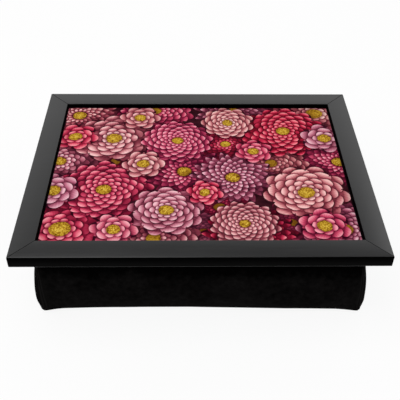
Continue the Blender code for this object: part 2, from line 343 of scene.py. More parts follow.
def makeLamps():
    for name, (place, width, depth, watts) in lamps.items():
        turn = (-Vector(place)).to_track_quat("-Z", "Y").to_euler()
        bpy.ops.object.light_add(type="AREA", location=place, rotation=turn)
        lamp = bpy.context.object
        lamp.name = name
        lamp.data.shape = "RECTANGLE"
        lamp.data.size = width
        lamp.data.size_y = depth
        lamp.data.energy = watts


bpy.ops.object.select_all(action="DESELECT")
makeCamera()
makeFloor()
makeSky()
makeLamps()
bpy.context.scene.view_settings.view_transform = "Standard"
print("camera, floor and light made")


# handling of pieces

def clamped(value):
    return max(0, min(1, value))


def only(*pieces):
    # selects these pieces and nothing else
    bpy.ops.object.select_all(action="DESELECT")
    for piece in pieces:
        piece.select_set(True)
    bpy.context.view_layer.objects.active = pieces[0]


def edit(piece):
    only(piece)
    bpy.ops.object.mode_set(mode="EDIT")
    bpy.ops.mesh.select_all(action="SELECT")


def leave():
    bpy.ops.object.mode_set(mode="OBJECT")


def settle(piece):
    # bakes the piece's place, turn and scale into its mesh
    only(piece)
    bpy.ops.object.transform_apply(location=True, rotation=True, scale=True)


def pick(piece, kind, test):
    # in edit mode, selects only the points, edges or faces that pass the test
    bpy.ops.mesh.select_mode(type=kind)
    bpy.ops.mesh.select_all(action="DESELECT")
    shape = bmesh.from_edit_mesh(piece.data)
    found = {"VERT": shape.verts, "EDGE": shape.edges, "FACE": shape.faces}[kind]
    for item in found:
        if test(item):
            item.select_set(True)
    bmesh.update_edit_mesh(piece.data)


def applyAll(piece):
    only(piece)
    for modifier in list(piece.modifiers):
        bpy.ops.object.modifier_apply(modifier=modifier.name)


def smoothed(piece, degrees):
    only(piece)
    bpy.ops.object.shade_smooth_by_angle(angle=math.radians(degrees))


def fattened(start, play):
    # the nails or staples as one solid, a little fatter, to cut room for them with
    twins = []
    for name, node in nodes.items():
        if name.startswith(start):
            twin = bpy.data.objects.new("cutter", node.data.copy())
            bpy.context.collection.objects.link(twin)
            twins.append(twin)
    only(*twins)
    bpy.ops.object.join()
    cutter = bpy.context.object
    edit(cutter)
    bpy.ops.mesh.remove_doubles(threshold=weld)
    bpy.ops.mesh.normals_make_consistent(inside=False)
    bpy.ops.transform.shrink_fatten(value=play, use_even_offset=True)
    leave()
    return cutter


def cutOut(piece, cutter):
    cut = piece.modifiers.new("cut", "BOOLEAN")
    cut.operation = "DIFFERENCE"
    cut.solver = "EXACT"
    cut.object = cutter
    applyAll(piece)


# frame: four mitred rails

moulding = {
    "width": 28 * mm,
    "lipWidth": 6 * mm,
    "lipHeight": 6 * mm,
    "topArris": 1.0 * mm,
    "footArris": 1.6 * mm,
    "arrisSteps": 5,
    "mitreGap": 0.3 * mm,
    "slotPlay": 0.35 * mm,   # round each nail in its mitre
    "sharpFrom": 32,         # degrees between two faces from which their edge stays sharp
    "satinFrom": 0.8,        # the satin reaches down to faces whose normal has this height
    "satinFoot": (-0.9, -0.2),    # and covers the rounded foot, whose normals lie between these heights
    "paintedLightUpTo": 13,          # millimetres above the frame's foot where the painted light ends
}

rails = {"front_rail": 0, "right_rail": 1, "back_rail": 2, "left_rail": 3}    # quarter turns from the front


def satinBlack(name, turn):
    # foiled wood: the grain runs along the rail, and the satin shows as streaks in the shine
    paint = Finish(name, Specular_IOR_Level=0.5)
    streaks = paint.coordinates(scale=(0.012, 0.9, 0.9), turn=turn)
    pores = paint.coordinates(scale=(0.05, 2.6, 2.6), turn=turn)
    cloud = paint.coordinates()
    grain = paint.noise(streaks, 1.0, detail=5, rough=0.6)
    fine = paint.noise(pores, 1.0, detail=2)
    mottle = paint.noise(cloud, 0.02, detail=2)
    dark = (0.0035, 0.0035, 0.0038)
    light = (0.0085, 0.0085, 0.009)
    paint.look("Base Color", paint.ramp(grain * 0.6 + fine * 0.4, [(0.35, dark), (0.68, light)]))
    paint.look("Roughness", 0.23 + grain * 0.10 + fine * 0.06 + mottle * 0.05)
    paint.bump(grain * 0.7 + fine * 0.5, 0.35, 0.06)
    return paint


def mattBlack(name, turn):
    # painted sides of the moulding, duller than its face, with painted light palest along their foot
    paint = Finish(name, Specular_IOR_Level=0.006)
    streaks = paint.coordinates(scale=(0.008, 0.5, 0.5), turn=turn)
    grain = paint.noise(streaks, 1.0, detail=5, rough=0.6)
    height = paint.apart(paint.coordinates())[2] - frameFoot / mm
    # painted light: paler towards the foot of the sides
    paleTone = (1 - height / moulding["paintedLightUpTo"]).held()
    dark = (0.0003, 0.0003, 0.0003)
    light = (0.0048, 0.0047, 0.0047)
    paint.look("Base Color", paint.ramp(grain * 0.35 + paleTone * 0.65, [(0.15, dark), (0.85, light)]))
    paint.look("Roughness", 0.5 + grain * 0.12)
    paint.bump(grain, 0.3, 0.05)
    return paint


def mitre(way, length, reach):
    # trims the rail square to its mitre, half the gap short of it
    out = Vector((way, 1, 0)).normalized()
    corner = Vector((way * length / 2, -reach, 0))
    bpy.ops.mesh.select_all(action="SELECT")
    place = corner - out * moulding["mitreGap"] / 2
    bpy.ops.mesh.bisect(plane_co=place, plane_no=out, use_fill=True, clear_outer=True)


def rub(rail, corners, width):
    # rounds the rail's long edges at these places across and up

    def alongCorner(edge):
        first, last = [point.co for point in edge.verts]
        level = abs(first.y - last.y) + abs(first.z - last.z) < tiny
        spot = (first + last) / 2
        return level and any(abs(spot.y - y) < tiny and abs(spot.z - z) < tiny for y, z in corners)

    pick(rail, "EDGE", alongCorner)
    bpy.ops.mesh.bevel(offset=width, offset_type="OFFSET", segments=moulding["arrisSteps"], affect="EDGES")


def makeRail(name, quarter, slots):
    # made at the front and turned into its place
    low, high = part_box(name)
    length = (high - low).xy[quarter % 2]
    reach = trayHalf[1 - quarter % 2]
    thick = high.z - low.z
    bodyWidth = moulding["width"] - moulding["lipWidth"]
    lipFoot = high.z - moulding["lipHeight"]
    place = (0, bodyWidth / 2 - reach, low.z + thick / 2)
    bpy.ops.mesh.primitive_cube_add(size=1, location=place, scale=(length, bodyWidth, thick))
    rail = bpy.context.object
    settle(rail)
    edit(rail)
    bpy.ops.mesh.bisect(plane_co=(0, 0, lipFoot), plane_no=(0, 0, 1))
    pick(rail, "FACE", lambda face: face.normal.y > facing and face.calc_center_median().z > lipFoot)
    bpy.ops.mesh.extrude_region_move(TRANSFORM_OT_translate={"value": (0, moulding["lipWidth"], 0)})
    mitre(1, length, reach)
    mitre(-1, length, reach)
    rub(rail, [(-reach, high.z), (moulding["width"] - reach, high.z)], moulding["topArris"])
    rub(rail, [(-reach, low.z)], moulding["footArris"])
    leave()
    rail.rotation_euler = (0, 0, quarter * math.pi / 2)
    settle(rail)
    rail.name = name + "_wood"
    cutOut(rail, slots)
    top = satinBlack(name + "_satin", 90 * (quarter % 2))
    side = mattBlack(name + "_matt", 90 * (quarter % 2))
    rail.data.materials.clear()
    rail.data.materials.append(top.material)
    rail.data.materials.append(side.material)
    lowest, highest = moulding["satinFoot"]
    for flat in rail.data.polygons:
        satin = flat.normal.z > moulding["satinFrom"] or lowest < flat.normal.z < highest
        flat.material_index = 0 if satin else 1
    smoothed(rail, moulding["sharpFrom"])
    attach(rail, body)
    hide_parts(name)


slots = fattened("v_nail", moulding["slotPlay"])
for name, quarter in rails.items():
    makeRail(name, quarter, slots)
bpy.data.objects.remove(slots)
print("rails made")


# printed panel: overlapping blossoms, drawn by shader maths in millimetres from the panel's middle

art = {
    "warps": ((0.028, 2.6), (0.16, 0.572)),    # how fine the outlines wander, and how far
    "shadow": 0.30,          # width of the dark edge that a blossom casts, in its own radii
    "shadowLight": 0.28,     # the light that is left where the shadow is deepest
    "petalShadow": 0.045,
    "petalShadowLight": 0.35,
    "tiers": 8,
    "overlap": 0.53,         # turn from tier to tier, in petals
    "twirl": 0.35,           # turn from a blossom's middle to its edge, in petals
    "groundFrom": 1.4,       # any distance between a blossom's edge, 1, and nowhere's 9
    "sight": (190.7, 140.8),    # half size of what shows inside the thin painted shade along the frame's lip
    "lipShadeBlur": 0.6,
    "lipShade": (0.004, 0.002, 0.003),
}

petalLight = {
    "length": 1.15,          # of a petal, in steps from tier to tier
    "atFoot": 0.10,
    "gain": 0.66,            # from foot to tip
    "curve": 0.8,
    "roundness": 0.34,       # how much darker a petal is at its sides
    "slant": 0.08,           # how much lighter one side is than the middle
    "own": 0.20,             # how much one petal differs from the next
    "veins": 23,
    "veinShift": 6,          # how far the veins move from one petal to the next
    "veinDepth": 0.028,
}

# the golden middle of a blossom
heartLight = {
    "dots": 0.55,            # how fine they are
    "brightness": 1.08,
    "dotDepth": 0.95,
    "dome": 0.35,            # how much darker the edge is
    "edge": 0.97,            # share of the middle's size that is golden
    "rimSharpness": 3.2,     # of the dark ring round it
    "rimStrength": 0.6,
}

# kind of blossom: petals, notch between them, roundness of their tips, step between tiers, golden middle
kinds = [
    (12, 0.20, 2.2, 0.105, 0.16),    # full
    (15, 0.28, 1.5, 0.100, 0.17),    # pointed
    (9, 0.20, 2.8, 0.140, 0.21),     # wide
    (6, 0.24, 2.6, 0.260, 0.30),     # simple
]
full, pointed, wide, simple = range(len(kinds))

# no value in a ramp is above 1, so petals and tips go in as shares of these two
mostPetals = 20
roundestTip = 4

# x, y, radius, squash, kind, turn in degrees, hue from crimson 0 over rose 1 and dusty pink 2 to mauve 3;
# the last lies on top
blossoms = [
    (36, 52, 44, 0.96, full, 12, 0.2), (24, -78, 44, 0.95, pointed, 12, 0.5),
    (112, -106, 42, 0.94, full, 5, 1.2), (-112, 14, 40, 1.0, pointed, 20, 0.0),
    (4, -122, 36, 0.95, full, 3, 2.9), (-172, 122, 62, 0.94, pointed, 8, 1.8),
    (-62, 134, 58, 0.92, full, 20, 0.8), (52, 132, 60, 1.0, pointed, 33, 2.8),
    (170, 126, 60, 0.96, wide, 14, 2.0), (-186, 14, 58, 1.0, full, 27, 2.6),
    (188, 12, 58, 0.93, pointed, 10, 0.9), (-168, -116, 62, 0.95, wide, 12, 0.4),
    (-56, -132, 58, 0.94, full, 22, 2.3), (60, -130, 60, 0.96, pointed, 31, 0.2),
    (174, -118, 60, 0.92, full, 4, 2.9), (-20, -8, 60, 0.95, pointed, 18, 1.0),
    (96, 10, 52, 1.0, full, 36, 2.0), (-118, 66, 58, 0.93, wide, 9, 2.2),
    (120, 82, 62, 0.95, full, 13, 0.0), (-122, -44, 64, 0.92, full, 29, 0.5),
    (44, -20, 58, 0.94, pointed, 6, 2.9), (-30, 60, 50, 0.96, full, 26, 1.0),
    (-42, -84, 48, 0.93, wide, 12, 2.7), (136, -50, 56, 0.95, wide, 35, 1.9),
    (54, -108, 44, 0.95, full, 17, 2.2), (42, 104, 38, 1.0, wide, 4, 2.0),
    (-172, 70, 32, 0.94, simple, 16, 0.2), (-186, -46, 34, 1.0, simple, 22, 2.9),
    (176, 66, 34, 0.95, simple, 25, 2.8), (-84, 116, 30, 0.93, simple, 8, 1.9),
    (74, 36, 27, 0.94, simple, 40, 0.6), (-74, 8, 29, 1.0, simple, 3, 2.1),
    (150, -112, 32, 0.96, simple, 30, 0.8), (-104, -118, 30, 0.95, simple, 10, 1.2),
    (6, -50, 24, 1.0, simple, 19, 0.2),
]
nowhere = (9, 0, 2)          # stands for a far blossom where none lies

# a petal's colours from its shade to its light, at the same places of the tone in every hue
toneStops = (0.0, 0.22, 0.48, 0.82)
hues = [
    [(0.024, 0.001, 0.004), (0.20, 0.003, 0.016), (0.58, 0.026, 0.072), (0.94, 0.24, 0.28)],    # crimson
    [(0.030, 0.001, 0.008), (0.22, 0.012, 0.046), (0.58, 0.072, 0.148), (0.92, 0.35, 0.43)],    # rose
    [(0.034, 0.004, 0.008), (0.21, 0.032, 0.048), (0.55, 0.175, 0.188), (0.91, 0.54, 0.51)],    # dusty pink
    [(0.030, 0.003, 0.011), (0.19, 0.030, 0.064), (0.49, 0.142, 0.225), (0.85, 0.47, 0.56)],    # mauve
]
ground = [(0.2, (0.010, 0.001, 0.003)), (0.8, (0.050, 0.008, 0.014))]
gold = [
    (0.0, (0.10, 0.03, 0.003)), (0.4, (0.38, 0.20, 0.014)),
    (0.75, (0.66, 0.43, 0.045)), (1.0, (0.86, 0.68, 0.17)),
]
goldRim = (0.05, 0.004, 0.008)


def warped(paint, spot):
    # the spot moved a little this way and that, so that no outline is quite regular
    for scale, reach in art["warps"]:
        wander = paint.noise(spot, scale, detail=1, output="Color")
        wander = paint.vectors("SUBTRACT", wander, (0.5, 0.5, 0.5))
        spot = paint.vectors("ADD", spot, paint.vectors("MULTIPLY", wander, (2 * reach, 2 * reach, 0)))
    return spot


def aboutBlossom(paint, spot, x, y, radius, squash, turn):
    # the spot seen from the middle of a blossom, in its radii
    sizes = Vector((1 / radius, 1 / radius / squash, 0))
    turned = Matrix.Rotation(math.radians(turn), 3, "Z") @ Vector((x * sizes.x, y * sizes.y, 0))
    values = {"Vector": spot, "Scale": sizes, "Rotation": (0, 0, math.radians(turn)), "Location": -turned}
    return paint.node("Mapping", {}, values)


def topBlossom(paint, spot):
    # finds the blossom that lies on top here: distance and angle from its middle, a code for its kind and
    # hue, and the light that the blossoms above it leave
    where = nowhere
    light = 1.0
    steep = (1 - art["shadowLight"]) / art["shadow"]
    for x, y, radius, squash, kind, turn, hue in blossoms:
        petals, notch, tip = kinds[kind][:3]
        local = aboutBlossom(paint, spot, x, y, radius, squash, turn)
        away = paint.vectors("LENGTH", local, (0, 0, 0), "Value")
        turns = paint.node("TexGradient", {"gradient_type": "RADIAL"}, {"Vector": local}, "Fac")
        between = (turns * petals).then("PINGPONG", 0.5)
        edge = (between ** tip).timesPlus(notch * 2 ** tip, away)
        inside = edge < 1
        dusk = edge.timesPlus(steep, art["shadowLight"] - steep, clamp=True) * light
        light = dusk.then("MAXIMUM", inside)
        code = kind + hue / len(hues)
        where = paint.blendVector(inside, where, paint.together(away, turns, code))
    return where, light


def kindHere(paint, code):
    # what the list of kinds says of the blossom with this code
    shapes = []
    hearts = []
    for place, (petals, notch, tip, step, core) in enumerate(kinds):
        shapes.append((place / len(kinds), (petals / mostPetals, step, notch, tip / roundestTip)))
        hearts.append((place / len(kinds), core))
    values = {0: code / len(kinds)}
    choice = {"stops": shapes, "interpolation": "CONSTANT"}
    petals, step, notch = paint.apart(paint.node("ValToRGB", choice, values))
    petals = (petals * mostPetals).then("ROUND")
    tip = paint.node("ValToRGB", choice, values, "Alpha") * roundestTip
    core = paint.node("ValToRGB", {"stops": greys(hearts), "interpolation": "CONSTANT"}, values)
    return petals, step, notch, tip, paint.apart(core)[0]


def petalTone(paint, away, turns, code, shape):
    # light and shade of the tiers of petals, from the lowest tier up
    petals, step, notch, tip = shape
    length = step * petalLight["length"]
    around = turns * petals + away * art["twirl"]
    steep = (1 - art["petalShadowLight"]) / art["petalShadow"]
    tone = 0.0
    for tier in range(art["tiers"]):
        share = step.timesPlus(-tier, 1, clamp=True)
        turned = around + art["overlap"] * tier
        index = turned.then("FLOOR").then("FLOORED_MODULO", petals)
        across = turned.fraction().timesPlus(2, -1)
        side = across.size()
        edge = (side ** tip).timesPlus(notch * share, away)
        inside = edge < share
        own = paint.node("TexWhiteNoise", {}, {"Vector": paint.together(index, code, tier)}, "Value")
        rise = ((away - share) / length).then("ADD", 1, clamp=True)
        veins = across.timesPlus(petalLight["veins"], own * petalLight["veinShift"]).wave()
        petal = (rise ** petalLight["curve"]).timesPlus(petalLight["gain"], petalLight["atFoot"])
        petal = (side * side).timesPlus(-petalLight["roundness"], petal)
        petal = veins.timesPlus(petalLight["veinDepth"], petal)
        petal = across.timesPlus(petalLight["slant"], petal)
        petal = own.timesPlus(petalLight["own"], petal)
        dusk = (edge - share).timesPlus(steep, art["petalShadowLight"], clamp=True) * tone
        tone = paint.blendValue(inside, dusk, petal)
    return tone


def petalColour(paint, tone, hue):
    # the tone's colour in the hue, mixed from the hues before and after it
    colour = paint.ramp(tone, list(zip(toneStops, hues[0])))
    for place in range(1, len(hues)):
        share = (hue - (place - 1)).held()
        colour = paint.blendColour(share, colour, paint.ramp(tone, list(zip(toneStops, hues[place]))))
    return colour


def heartGlow(paint, drawn, heart, light):
    # golden dots, darker towards the edge; heart is the distance from the middle, 1 at the edge
    dots = paint.cells(drawn, heartLight["dots"])
    bright = dots.timesPlus(-heartLight["dotDepth"], heartLight["brightness"])
    return (bright - heart * heart * heartLight["dome"]) * light


def floralPrint():
    # blossoms with golden middles, dark ground between them, and thin painted shade along the frame's lip
    paint = Finish("floral_laminate", Roughness=0.42, Specular_IOR_Level=0.008)
    spot = paint.coordinates(scale=(1, 1, 0))
    drawn = warped(paint, spot)
    where, light = topBlossom(paint, drawn)
    away, turns, code = paint.apart(where)
    *shape, core = kindHere(paint, code)
    tone = petalTone(paint, away, turns, code, shape)
    cloud = paint.noise(spot, 0.012, detail=2).timesPlus(0.5, 0.75)
    fleck = paint.noise(spot, 0.55, detail=3) * 0.10 - 0.05
    depth = away.timesPlus(-0.22, 1.12)                  # outer petals lie lower and darker
    tone = tone * (depth * light * cloud) + fleck
    colour = petalColour(paint, tone, code.fraction() * len(hues))
    background = paint.ramp(paint.noise(spot, 0.09, detail=4), ground)
    colour = paint.blendColour(away > art["groundFrom"], colour, background)
    heart = away / core
    glow = heartGlow(paint, drawn, heart, light)
    rim = ((heart - 1).size() * -heartLight["rimSharpness"] + 1).held()
    colour = paint.blendColour(rim * heartLight["rimStrength"], colour, goldRim)
    colour = paint.blendColour(heart < heartLight["edge"], colour, paint.ramp(glow, gold))
    # painted shade: a thin dark band along the frame's lip
    x, y = paint.apart(spot)[:2]
    past = (x.size() - art["sight"][0]).then("MAXIMUM", y.size() - art["sight"][1])
    lipShade = (past / art["lipShadeBlur"] + 1).held()
    paint.look("Base Color", paint.blendColour(lipShade, colour, art["lipShade"]))
    return paint


floralPrint().give(nodes["print_sheet"])
print("print made")


# boards, nails and staples keep their shapes

def hardboard():
    # brown pressed fibre, smooth with darker specks
    paint = Finish("brown_hardboard", Specular_IOR_Level=0.3)
    spot = paint.coordinates()
    fibres = paint.noise(spot, 0.6, detail=5, rough=0.65)
    cloud = paint.noise(spot, 0.03, detail=2)
    browns = [(0.3, (0.17, 0.09, 0.042)), (0.55, (0.31, 0.185, 0.098)), (0.8, (0.44, 0.29, 0.17))]
    colour = paint.ramp(fibres * 0.7 + cloud * 0.3, browns)
    specks = (0.22 - paint.cells(spot, 0.5)).then("MULTIPLY", 2.2, clamp=True)
    paint.look("Base Color", paint.blendColour(specks, colour, (0.08, 0.04, 0.02)))
    paint.look("Roughness", 0.62 + fibres * 0.22)
    paint.bump(fibres, 0.4, 0.08)
    return paint


def brightSteel():
    # drawn steel with fine scratches and a duller cloud here and there
    paint = Finish("bright_steel", Metallic=1.0)
    scratches = paint.noise(paint.coordinates(scale=(0.3, 0.3, 6)), 1.0, detail=3)
    cloud = paint.noise(paint.coordinates(), 0.25, detail=2)
    paint.look("Base Color", paint.ramp(cloud, [(0.3, (0.48, 0.48, 0.50)), (0.7, (0.66, 0.66, 0.67))]))
    paint.look("Roughness", 0.22 + scratches * 0.22)
    paint.bump(scratches, 0.25, 0.02)
    return paint


board = hardboard()
steel = brightSteel()
for name, node in nodes.items():
    if name in ("tray_panel", "base_board"):
        board.give(node)
    elif name.startswith(("v_nail", "staple")):
        steel.give(node)
print("boards, nails and staples finished")


# cushion: a boxed bag of black suede, filled with beads

bag = {
    "squares": 6.0 * mm,        # size of the cloth's faces before the cover is made finer
    "wrapInset": 22.5 * mm,     # from the tray's edge in to where the cover goes up round the base board
    "topRound": 1.1 * mm,       # how far the mouth's corners are drawn in by the board's rounded corners
    "roundFrom": 0.7,           # share of the height where that begins
    "footLift": 1.6 * mm,       # height of the seam round the foot
    "heldInset": 15 * mm,       # the floor panel lies still from this far inside its edge
    "footHold": 0.5,            # how firmly the seam round the foot stays put
    "frames": 20,
    "cap": 12 * mm,             # no point is blown further than this
    "seamWidth": 1.8 * mm,
    "seamDepth": 0.45 * mm,
    "seamTop": 0.95,            # share of the height where the corner seams go in under the frame
    "unevenness": 0.9 * mm,
    "swells": ((22, 1.0), (70, 0.35)),    # how many to a metre, and how strong
    "swellFade": (5, 4),        # they fade over the lowest fifth and the topmost quarter of the height
    "slump": (0.4 * mm, -3.3 * mm),       # how far the foot slid to the right, and forwards at the right
    "slumpFade": 3,             # it fades over the topmost third of the height
    "slumpReach": 125 * mm,     # the slide forwards grows from none to all of it over this width
    "slumpAtMiddle": 0.13,      # share of the slide forwards at the tray's middle
    "earPlace": 0.9,            # where the ears are, as a share of the tray's half width and depth
    "earSharpness": 5.0,        # 1 would spread each ear along the whole side
    "earSize": 32 * mm,
    "ears": {
        (-1, -1): (2.8 * mm, -2.0 * mm), (1, -1): (-0.4 * mm, -1.0 * mm),
        (-1, 1): (1.2 * mm, 1.0 * mm), (1, 1): (-1.5 * mm, 0.6 * mm),
    },
    "sharpness": (30.0, 2.4),   # how near the corner seams the sides, and the front and back, curve in
    "coverThickness": 0.8 * mm,
    "flange": 20 * mm,
    "flangeTop": 4.6 * mm,      # above the frame's foot
    "wrapRows": 2,              # from the frame's foot up to the fold
    "fold": 1.0 * mm,           # radius of the fold over the board's edge
    "foldTurns": (30, 60, 90),  # degrees
    "flangeRows": 5,
    "cutWidth": 1.2 * mm,       # in each corner of the flange
    "cutFrom": 7 * mm,          # from the flange's corner in to where the cut begins
    "staplePlay": 0.25 * mm,
    "sharpFrom": 60,            # degrees between two faces from which their edge stays sharp
    "beadsInset": 1.35 * mm,
    "beadsRounding": 4,         # how many times the heap's points are evened out
    "heapTop": 0.993,           # share of its width that the heap keeps at the top
    "heapPlay": 0.3 * mm,       # above the cover's floor
    "heapRise": 0.2 * mm,       # above the frame's foot
}

# the slack bag: share of its height; how far its front and back, its sides and its corner seams stand out
# from the wrap line; and how far the corner seams at the left and at the right are drawn in from the sides;
# the last five in mm
bagStations = [
    (0.00, -1.0, -1.0, 5.8, 0.0, 0.0),
    (0.07, 6.0, 11.5, 5.7, 8.5, 4.9),
    (0.16, 8.6, 11.2, 6.1, 9.8, 5.6),
    (0.30, 9.3, 10.2, 6.2, 9.5, 5.8),
    (0.48, 7.6, 8.2, 4.7, 7.0, 4.9),
    (0.68, 4.2, 4.4, 2.6, 3.6, 3.8),
    (0.86, 1.6, 1.7, 1.1, 2.2, 2.2),
    (1.00, 0.0, 0.0, 0.0, 0.0, 0.0),
]

# how stiff the cloth is, and how hard the beads press
weave = {
    "quality": 6,
    "mass": 0.3,
    "tension_stiffness": 30,
    "compression_stiffness": 30,
    "shear_stiffness": 15,
    "bending_stiffness": 0.6,
    "uniform_pressure_force": 2.0,
}

# where the suede's tone changes, in millimetres
suedeAt = {
    "shadeFrom": 61,             # height where the painted shade under the frame begins
    "shadeOver": 20,
    "paleUpTo": 40,             # paler from the foot up to here
    "sidesFrom": 44,            # how much further sideways than forwards the side panels lie
    "sidesOver": 3,
    "floorUpTo": 4,             # the painted shade on the side panels is full from this height up
}

# the suede's tone from beside a seam, 0, to the seam's middle, 1: a painted highlight, then painted shade
seamShadeAndHighlight = [(0.0, 0.4), (0.35, 0.72), (0.6, 0.6), (1.0, 0.2)]

wrapHalf = trayHalf - Vector((1, 1)) * bag["wrapInset"]
floorShare = 0.001           # shares of the height below this lie on the floor
edgeShare = 0.9999           # shares of the width or depth above this lie on the edge
fullWeight = 0.99            # a point with more weight than this is on the seam itself


def standOut(rise, axis, share):
    # how far the bag stands out along an axis; share is the place across the bag, from -1 to 1 each way
    for (low, *below), (high, *above) in zip(bagStations, bagStations[1:]):
        if rise <= high + floorShare:
            between = (rise - low) / (high - low)
            here = [mm * (a + (b - a) * between) for a, b in zip(below, above)]
            front, side, seam, atLeft, atRight = here
            middle = front if axis == 1 else side
            if axis == 0:
                seam -= atRight if share.x > 0 else atLeft
            sharpness = bag["earSharpness"] if rise < floorShare else bag["sharpness"][axis]
            return middle + (seam - middle) * abs(share[1 - axis]) ** sharpness
    return 0.0


def makeBag():
    # a floor panel, and walls drawn up from its edge
    columns, lines = [round(2 * side / bag["squares"]) for side in wrapHalf]
    middle = (0, 0, 0)
    bpy.ops.mesh.primitive_grid_add(x_subdivisions=columns, y_subdivisions=lines, size=1, location=middle)
    cover = bpy.context.object
    cover.name = "suede_cushion"
    cover.scale = (2 * wrapHalf.x, 2 * wrapHalf.y, 1)
    settle(cover)
    rows = round(frameFoot / bag["squares"])
    edit(cover)
    pick(cover, "EDGE", lambda edge: edge.is_boundary)
    for row in range(rows):
        bpy.ops.mesh.extrude_region_move(TRANSFORM_OT_translate={"value": (0, 0, frameFoot / rows)})
    bpy.ops.mesh.select_all(action="SELECT")
    bpy.ops.mesh.normals_make_consistent(inside=False)
    leave()
    seams = cover.vertex_groups.new(name="seams")
    for point in cover.data.vertices:
        share = Vector((point.co.x / wrapHalf.x, point.co.y / wrapHalf.y))
        rise = point.co.z / frameFoot
        outer = max(abs(share.x), abs(share.y)) > edgeShare
        corner = min(abs(share.x), abs(share.y)) > edgeShare
        if (corner and rise < bag["seamTop"]) or (outer and rise < floorShare):
            seams.add([point.index], 1.0, "REPLACE")
        for axis in (0, 1):
            point.co[axis] += share[axis] * standOut(rise, axis, share)
            if corner and rise > bag["roundFrom"]:
                rounding = bag["topRound"] * (rise - bag["roundFrom"]) / (1 - bag["roundFrom"])
                point.co[axis] -= math.copysign(rounding, point.co[axis])
        if rise < floorShare:
            # the floor curves up to its edge over two squares
            gap = (1 - max(abs(share.x), abs(share.y))) * wrapHalf.x
            point.co.z = bag["footLift"] * max(0, 1 - gap / (2 * bag["squares"])) ** 2
    return cover


def fill(cover):
    # blows the slack bag up as its beads would, held at its mouth and under its floor
    held = cover.vertex_groups.new(name="held")
    for point in cover.data.vertices:
        mouth = point.co.z > frameFoot - tiny
        edgeGap = min(wrapHalf.x - abs(point.co.x), wrapHalf.y - abs(point.co.y))
        if mouth or (point.co.z < tiny and edgeGap > bag["heldInset"]):
            held.add([point.index], 1.0, "REPLACE")
        elif point.co.z < bag["footLift"] + tiny:
            held.add([point.index], bag["footHold"], "REPLACE")
    before = [point.co.copy() for point in cover.data.vertices]
    cloth = cover.modifiers.new("filled", "CLOTH")
    for key, value in weave.items():
        setattr(cloth.settings, key, value)
    cloth.settings.use_pressure = True
    cloth.settings.vertex_group_mass = held.name
    cloth.settings.effector_weights.gravity = 0
    cloth.collision_settings.use_collision = False
    cloth.point_cache.frame_start = 1
    cloth.point_cache.frame_end = bag["frames"]
    for step in range(1, bag["frames"] + 1):
        bpy.context.scene.frame_set(step)
    applyAll(cover)
    bpy.context.scene.frame_set(1)
    for point, start in zip(cover.data.vertices, before):
        move = point.co - start
        if move.length > bag["cap"]:
            point.co = start + move * bag["cap"] / move.length
        point.co.z = max(point.co.z, 0)


def uneven(cover):
    # beads never lie quite even: slow swells, none at the mouth or foot, a slump to one side,
    # and each ear its own way
    ways = [Vector((point.normal.x, point.normal.y, 0)) for point in cover.data.vertices]
    for point, out in zip(cover.data.vertices, ways):
        rise = point.co.z / frameFoot
        low = clamped((1 - rise) * bag["slumpFade"])
        rightward = clamped(point.co.x / bag["slumpReach"] + bag["slumpAtMiddle"])
        frontward = clamped(-point.co.y / trayHalf.y)
        share = clamped(rise * bag["swellFade"][0]) * clamped((1 - rise) * bag["swellFade"][1])
        swell = sum(strength * noise.noise(point.co * often) for often, strength in bag["swells"])
        moved = point.co + out * swell * share * bag["unevenness"]
        moved.x += bag["slump"][0] * low
        moved.y += bag["slump"][1] * low * rightward * frontward
        for (x, y), (alongX, alongY) in bag["ears"].items():
            ear = Vector((x * trayHalf.x, y * trayHalf.y, 0)) * bag["earPlace"]
            close = max(0, 1 - (point.co - ear).length / bag["earSize"]) ** 2
            moved += Vector((alongX, alongY, 0)) * close
        point.co = moved


def makeBeads(cover):
    # the beads fill the cover up to the base board, and round off in its corners
    only(cover)
    bpy.ops.object.duplicate()
    beads = bpy.context.object
    beads.name = "bead_heap"
    beads.vertex_groups.clear()
    edit(beads)
    bpy.ops.mesh.vertices_smooth(factor=0.5, repeat=bag["beadsRounding"])
    bpy.ops.transform.shrink_fatten(value=-bag["beadsInset"])
    pick(beads, "EDGE", lambda edge: edge.is_boundary)
    bpy.ops.transform.resize(value=(bag["heapTop"], bag["heapTop"], 0), center_override=(0, 0, frameFoot))
    bpy.ops.mesh.select_all(action="SELECT")
    bpy.ops.mesh.subdivide(number_cuts=1, smoothness=1)
    pick(beads, "EDGE", lambda edge: edge.is_boundary)
    bpy.ops.mesh.edge_face_add()
    bpy.ops.mesh.inset(thickness=bag["squares"], depth=0)
    bpy.ops.mesh.select_all(action="SELECT")
    bpy.ops.mesh.normals_make_consistent(inside=False)
    leave()
    lowest = bag["coverThickness"] + bag["heapPlay"]
    for point in beads.data.vertices:
        point.co.z = min(max(point.co.z, lowest), frameFoot + bag["heapRise"])
    return beads


def onSeam(piece):
    # the seam points keep a full weight through the subdivision
    group = piece.vertex_groups["seams"].index
    marked = set()
    for point in piece.data.vertices:
        if any(entry.group == group and entry.weight > fullWeight for entry in point.groups):
            marked.add(point.index)
    return marked


def markFurrow(cover, depth):
    # writes on the picked points how deep they lie in a seam, for the cloth's painted highlight and shade
    shape = bmesh.from_edit_mesh(cover.data)
    furrow = shape.verts.layers.float["furrow"]
    for point in shape.verts:
        if point.select:
            point[furrow] = depth
    bmesh.update_edit_mesh(cover.data)


